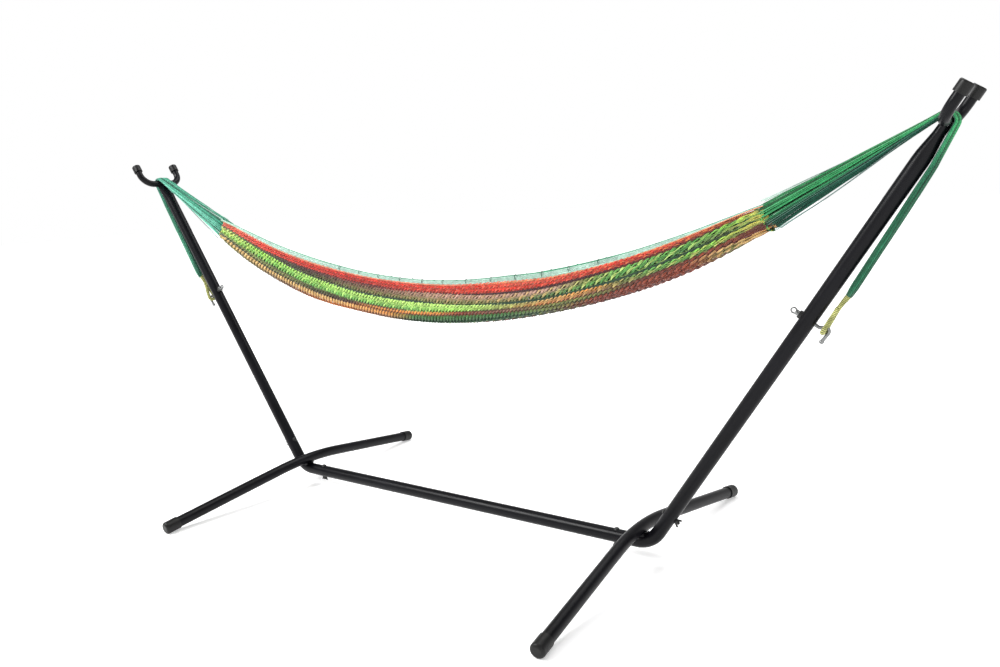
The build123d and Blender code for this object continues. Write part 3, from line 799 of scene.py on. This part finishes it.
def end_strings(side):
    """The bundle of green strings of one end, from the bed over the saddle to the loop."""
    r = np.random.default_rng(70 + side)
    paths, radii, colours = [], [], []
    spots = []                    # where each string lies in the bundle's section
    for ring, count in ((0.97, 60), (0.70, 44), (0.42, 26)):
        for k in range(count):
            q = TAU * (k + 0.5 * (ring < 0.9) + r.uniform(-0.2, 0.2)) / count
            a, b = boxy(q)
            spots.append((a * ring + r.uniform(-0.03, 0.03), b * ring + r.uniform(-0.03, 0.03)))
    bright = lin(56, 160, 96) if side > 0 else lin(116, 206, 178)
    dark = lin(18, 78, 60) if side > 0 else lin(48, 138, 110)
    tail_tone = lin(34, 102, 72) if side > 0 else lin(70, 146, 116)
    tail_share = smooth(saddle_at - 0.02, saddle_at + 0.10, run)[:, None]
    # painted highlight: the strings are up to 35% lighter where they bend over the saddle
    bend_highlight = np.exp(-((run - saddle_at - 0.025) / 0.022) ** 2)[:, None]
    for a, b in spots:
        wob = 0.0010 * wander(run, 0.35, int(r.integers(9999))) * smooth(0, 0.06, run)
        wob = wob * (1 - 0.6 * smooth(saddle_at - 0.1, saddle_at - 0.02, run))
        p = (spine + np.array([0, 1.0, 0]) * (a * half_w)[:, None]
             + lift * (b * half_h + wob)[:, None])
        p[:, 1] += 0.0010 * wander(run, 0.3, int(r.integers(9999))) * smooth(0, 0.05, run)
        # the upper strings meet the woven net a little earlier than the lower ones
        p[0] += way[0] * (-0.013 * (1 + b) + r.uniform(-0.005, 0.003))
        paths.append(p)
        radii.append(np.full(len(run), 0.00115))
        level = b if side > 0 else -b
        mix = float(smooth(-0.55, 0.15, level)) if side > 0 else float(smooth(-0.75, -0.2, level))
        tone = dark * (1 - mix) + bright * mix
        pick = r.random()
        tone = tone * (1 + 0.20 * r.standard_normal())
        end_tone = tail_tone * (1 + 0.22 * r.standard_normal())
        # painted highlight: a tenth of the strings are much lighter along their whole length
        if pick < 0.10:
            tone = tone * 1.6 + 0.05
            end_tone = end_tone * 1.5
        # painted shade: a fifth of the strings are much darker, as the dark gaps between the
        # strings
        if pick > 0.80:
            tone = tone * (0.34 if side > 0 else 0.55)
            end_tone = end_tone * 0.40
        shade = tone[None, :] * (1 - tail_share) + end_tone[None, :] * tail_share
        colours.append(np.clip(shade * (1 + 0.35 * bend_highlight), 0.003, 1))
    # a few loose strings above and below the bundle
    fade = smooth(0, 0.10, run)[:, None]
    for a, b, sag, colour, thick in ((-0.6, 1.16, 0.0, PALE_TEAL, 0.0013),
                                     (0.3, 1.13, 0.0, PALE_TEAL, 0.0013),
                                     (-0.75, -1.14, -0.0085, lin(150, 176, 170), 0.0015),
                                     (0.6, -1.08, -0.0060, lin(150, 176, 170), 0.0013)):
        sag = sag if side > 0 else sag * 0.15
        drop = sag * np.sin(math.pi * np.clip(run / (saddle_at - 0.10), 0, 1))
        fit = np.interp(run, [0, 0.12, saddle_at - 0.06, total], [1, 0.94, 0.6, 0.5])
        p = (spine + np.array([0, 1.0, 0]) * (a * half_w * fit)[:, None]
             + lift * (b * half_h * fit + drop)[:, None])
        paths.append(p)
        radii.append(np.full(len(run), thick))
        colours.append(colour[None, :] * 1.25 * (1 - fade) + (colour * 0.55)[None, :] * fade)
    # two more stand off the tail, just past the saddle, at the right end only
    if side > 0:
        for a, bow, first, last in ((-0.5, 0.0085, 0.030, 0.115), (0.2, 0.0065, 0.035, 0.100)):
            t = np.clip((run - saddle_at - first) / (last - first), 0, 1)
            p = (spine + np.array([0, 1.0, 0]) * (a * half_w)[:, None]
                 + lift * (half_h * 0.9 + bow * np.sin(math.pi * t))[:, None])
            paths.append(p)
            radii.append(np.full(len(run), 0.0009))
            colours.append(np.tile(lin(70, 96, 86), (len(run), 1)))
    paths = np.array(paths)
    paths[:, :, 0] *= side
    name = "end_strings_right" if side > 0 else "end_strings_left"
    obj = tubes(name, paths, np.array(radii), np.array(colours), fine_mat)
    return obj


def collar(side):
    """Loops where the end strings hook through the ends of the woven strings."""
    r = np.random.default_rng(90 + side)
    paths, colours = [], []
    points, count = 14, 54
    q = np.linspace(0, TAU, points)
    for k in range(count):
        a, b = boxy(TAU * (k + r.uniform(-0.3, 0.3)) / count)
        y = a * (half_w[0] - 0.0030) + 0.0018 * np.cos(q)
        z = 0.981 - 0.018 * (1 + b) * 0.4 + b * (half_h[0] - 0.0040) + 0.0018 * np.sin(q)
        x = HALF - 0.008 - 0.0150 * (1 + b) + 0.008 * np.sin(q / 2) + r.uniform(-0.004, 0.001)
        paths.append(np.stack([x, y, z], axis=-1))
        pick = [TEAL_DEEP, MID_GREEN, LEAF, YELLOW, GREEN, DARK_GREEN][k % 6]
        colours.append(np.tile(pick * (1 + 0.1 * r.standard_normal()), (points, 1)))
    paths = np.array(paths)
    paths[:, :, 0] *= side
    name = "net_end_loops_right" if side > 0 else "net_end_loops_left"
    obj = tubes(name, paths, 0.0011, np.array(colours), fine_mat)
    return obj


# ---- wrapped loop on each hook --------------------------------------------------------------

def wound(name, core, core_radius, twine_radius, side):
    """A core wound with twine along its whole length: the twine and the core."""
    d = np.concatenate([[0], np.cumsum(np.linalg.norm(np.diff(core, axis=0), axis=1))])
    length = d[-1]
    turns = length / (2.8 * twine_radius)
    n = int(turns * 16)
    s = np.linspace(0, length, n)
    line = np.stack([np.interp(s, d, core[:, c]) for c in range(3)], axis=-1)
    kernel = np.ones(9) / 9
    for c in range(3):
        line[4:-4, c] = np.convolve(line[:, c], kernel, mode="valid")
    _, normal, binormal = frames(line[None])
    q = TAU * turns * s / length
    radius = np.interp(s, d, core_radius)
    wobble = 1 + 0.05 * wander(s, 0.03, 5)
    offset = (radius * wobble)[:, None] * (normal[0] * np.cos(q)[:, None]
                                           + binormal[0] * np.sin(q)[:, None])
    twine = (line + offset)[None]
    base = lin(212, 214, 134)
    deep = lin(112, 118, 48)
    mix = np.clip(0.45 + 0.7 * wander(s, 0.03, 9), 0, 1)[:, None]
    colour = (base * (1 - 0.6 * mix) + deep * 0.6 * mix)[None]
    twine[:, :, 0] *= side
    inner = line[::6].copy()
    inner[:, 0] *= side
    outer = tubes(name, twine, twine_radius, colour, twine_mat, sides=6)
    # the core shows between the twine's turns, and its dark colour is painted shade in those
    # grooves
    core_piece = tubes(name + "_core", inner[None], (radius[::6] + twine_radius * 0.35)[None],
                       np.tile(base * 0.22, (1, len(inner), 1)), twine_mat, sides=10)
    return outer, core_piece


def loop_core():
    """Middle lines of the right loop: its eye round the hook and its neck above that."""
    rows = [(0.067, 0.0417, 0.0022), (0.050, 0.0428, 0.0046), (0.034, 0.0438, 0.0074),
            (0.018, 0.0448, 0.0102), (0.006, 0.0456, 0.0120), (-0.001, 0.0460, 0.0112),
            (-0.0044, 0.0460, 0.0072)]
    ring = rows + [(-0.0050, 0.0460, 0.0)] + [(a, o, -y) for a, o, y in reversed(rows)]
    ring = np.array([on_post(HOOK + a, o) + np.array([0, y, 0]) for a, o, y in ring])
    neck = np.array([on_post(HOOK + a, o) for a, o in ((0.108, 0.0452), (0.085, 0.0432),
                                                       (0.057, 0.0420))])
    return ring, neck


def fine_line(points, n=120):
    """Smooth line through points."""
    d = np.concatenate([[0], np.cumsum(np.linalg.norm(np.diff(points, axis=0), axis=1))])
    s = np.linspace(0, d[-1], n)
    line = np.stack([np.interp(s, d, points[:, c]) for c in range(3)], axis=-1)
    for _ in range(6):
        line[1:-1] = (line[:-2] + 2 * line[1:-1] + line[2:]) / 4
    return line


TWINE = 0.0015                    # radius of the twine round the loops
ring, neck = loop_core()
eye, stem = fine_line(ring), fine_line(neck, 60)
eye_girth = np.full(len(eye), 0.0048)
stem_girth = np.interp(np.linspace(0, 1, len(stem)), [0, 0.25, 0.7, 1],
                       [0.0072, 0.0058, 0.0047, 0.0056])
strings = {}
for side, label in ((1, "right"), (-1, "left")):
    strings[side] = end_strings(side)
    ends = collar(side)
    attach(ends, "hammock")
    loop = (*wound("loop_eye_" + label, eye, eye_girth, TWINE, side),
            *wound("loop_neck_" + label, stem, stem_girth, TWINE, side))
    for piece in loop:
        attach(piece, "stand")
    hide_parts("loop_" + label)
    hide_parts("clew_" + label, "tail_" + label)

for piece, cloth in bed_pieces:
    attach(piece, "hammock")
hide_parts("bed")
for piece in edge_pieces:
    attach(piece, "hammock")
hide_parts("edge_band_near")
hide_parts("edge_band_far")

# the end strings' placement is baked into their meshes
top = on_post(SADDLE)
for side in (1, -1):
    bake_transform(strings[side])

# ---- weld beads between each fork and its post ----------------------------------------------

def bead(name, points, radius, seed):
    """A rippled weld bead along points."""
    n = 90
    line = fine_line(np.array(points), n)
    s = np.linspace(0, 1, n)
    ripple = radius * (1 + 0.13 * np.sin(s * n * 1.15) + 0.08 * wander(s, 0.3, seed))
    ripple = ripple * np.clip(np.minimum(s, 1 - s) / 0.03, 0.35, 1)
    obj = tubes(name, line[None], ripple[None], np.ones((1, n, 3)), powder, sides=10)
    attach(obj, "stand")


for side, label in ((1, "right"), (-1, "left")):
    for k, o in enumerate((-0.0125, 0.0125)):
        row = []
        for y in np.linspace(-0.0255, 0.0255, 9):
            bulge = math.sqrt(max(0.0, 1 - (y / 0.0272) ** 2))
            along = SADDLE - 0.0045 - 0.006 * (1 - bulge)
            row.append(on_post(along, o * (0.25 + 0.75 * bulge), side) + np.array([0, y, 0]))
        bead("fork_weld_%s_%d" % (label, k), row, 0.0019, 5 + k)

# ---- floor, light and camera ----------------------------------------------------------------

scene = bpy.context.scene
scene.view_settings.view_transform = "Standard"
scene.view_settings.look = "None"
floor_mat, tree, bsdf = new_material("studio_floor", rough=0.95, spec=0.05)
bsdf.inputs["Base Color"].default_value = (0.96, 0.96, 0.96, 1)
bsdf.inputs["Emission Color"].default_value = (1, 1, 1, 1)
# the floor glows more with distance, so that it meets the background without a line
place = tree.nodes.new("ShaderNodeNewGeometry")
reach = tree.nodes.new("ShaderNodeVectorMath")
reach.operation = "LENGTH"
tree.links.new(place.outputs["Position"], reach.inputs[0])
spread = node(tree, "ShaderNodeMapRange", From_Min=1.2, From_Max=5.0, To_Min=0.35, To_Max=1.0)
tree.links.new(reach.outputs["Value"], spread.inputs["Value"])
tree.links.new(spread.outputs["Result"], bsdf.inputs["Emission Strength"])
bpy.ops.mesh.primitive_plane_add(size=60, location=(0, 0, -0.0005))
floor = bpy.context.object
floor.name = "studio_floor"
floor.data.materials.append(floor_mat)

world = bpy.data.worlds.new("studio")
scene.world = world
world.use_nodes = True
tree = world.node_tree
back = tree.nodes["Background"]
back.inputs["Strength"].default_value = 1.0
where = tree.nodes.new("ShaderNodeTexCoord")
part = tree.nodes.new("ShaderNodeSeparateXYZ")
tree.links.new(where.outputs["Generated"], part.inputs["Vector"])
sky = ramp(tree, part.outputs["Z"],
           [(0.0, grey(1.0)), (0.24, grey(1.0)), (0.42, grey(0.3)), (1.0, grey(0.2))])
tree.links.new(sky.outputs["Color"], back.inputs["Color"])


def area_light(name, location, target, size, power):
    data = bpy.data.lights.new(name, "AREA")
    data.shape = "RECTANGLE"
    data.size, data.size_y = size
    data.energy = power
    obj = bpy.data.objects.new(name, data)
    scene.collection.objects.link(obj)
    obj.location = location
    direction = Vector(target) - Vector(location)
    obj.rotation_euler = direction.to_track_quat("-Z", "Y").to_euler()


area_light("key", (-2.8, -3.0, 4.4), (0, 0, 0.6), (2.2, 2.2), 330)
area_light("fill", (4.2, -2.6, 3.0), (0, 0, 0.6), (3.0, 3.0), 50)
area_light("top", (0.4, 1.6, 4.6), (0, 0, 0.4), (4.0, 3.0), 130)


def camera(azimuth, elevation, tilt, lens, place):
    """Camera by its direction in degrees, its tilt about the view line, lens in mm and place."""
    az, el, tilt = math.radians(azimuth), math.radians(elevation), math.radians(tilt)
    back = np.array([math.sin(az) * math.cos(el), -math.cos(az) * math.cos(el), math.sin(el)])
    level = np.cross([0, 0, 1], back)
    level /= np.linalg.norm(level)
    upright = np.cross(back, level)
    right = math.cos(tilt) * level + math.sin(tilt) * upright
    up = -math.sin(tilt) * level + math.cos(tilt) * upright
    data = bpy.data.cameras.new("camera")
    data.sensor_width = 36.0
    data.lens = lens
    data.clip_start, data.clip_end = 0.05, 100
    obj = bpy.data.objects.new("camera", data)
    scene.collection.objects.link(obj)
    pose = Matrix.Identity(4)
    for i in range(3):
        pose[i][0], pose[i][1], pose[i][2] = right[i], up[i], back[i]
    pose.translation = Vector(place)
    obj.matrix_world = pose
    scene.camera = obj


camera(36.77, 9.62, -3.07, 30.934, (1.8229, -2.1167, 1.0890))
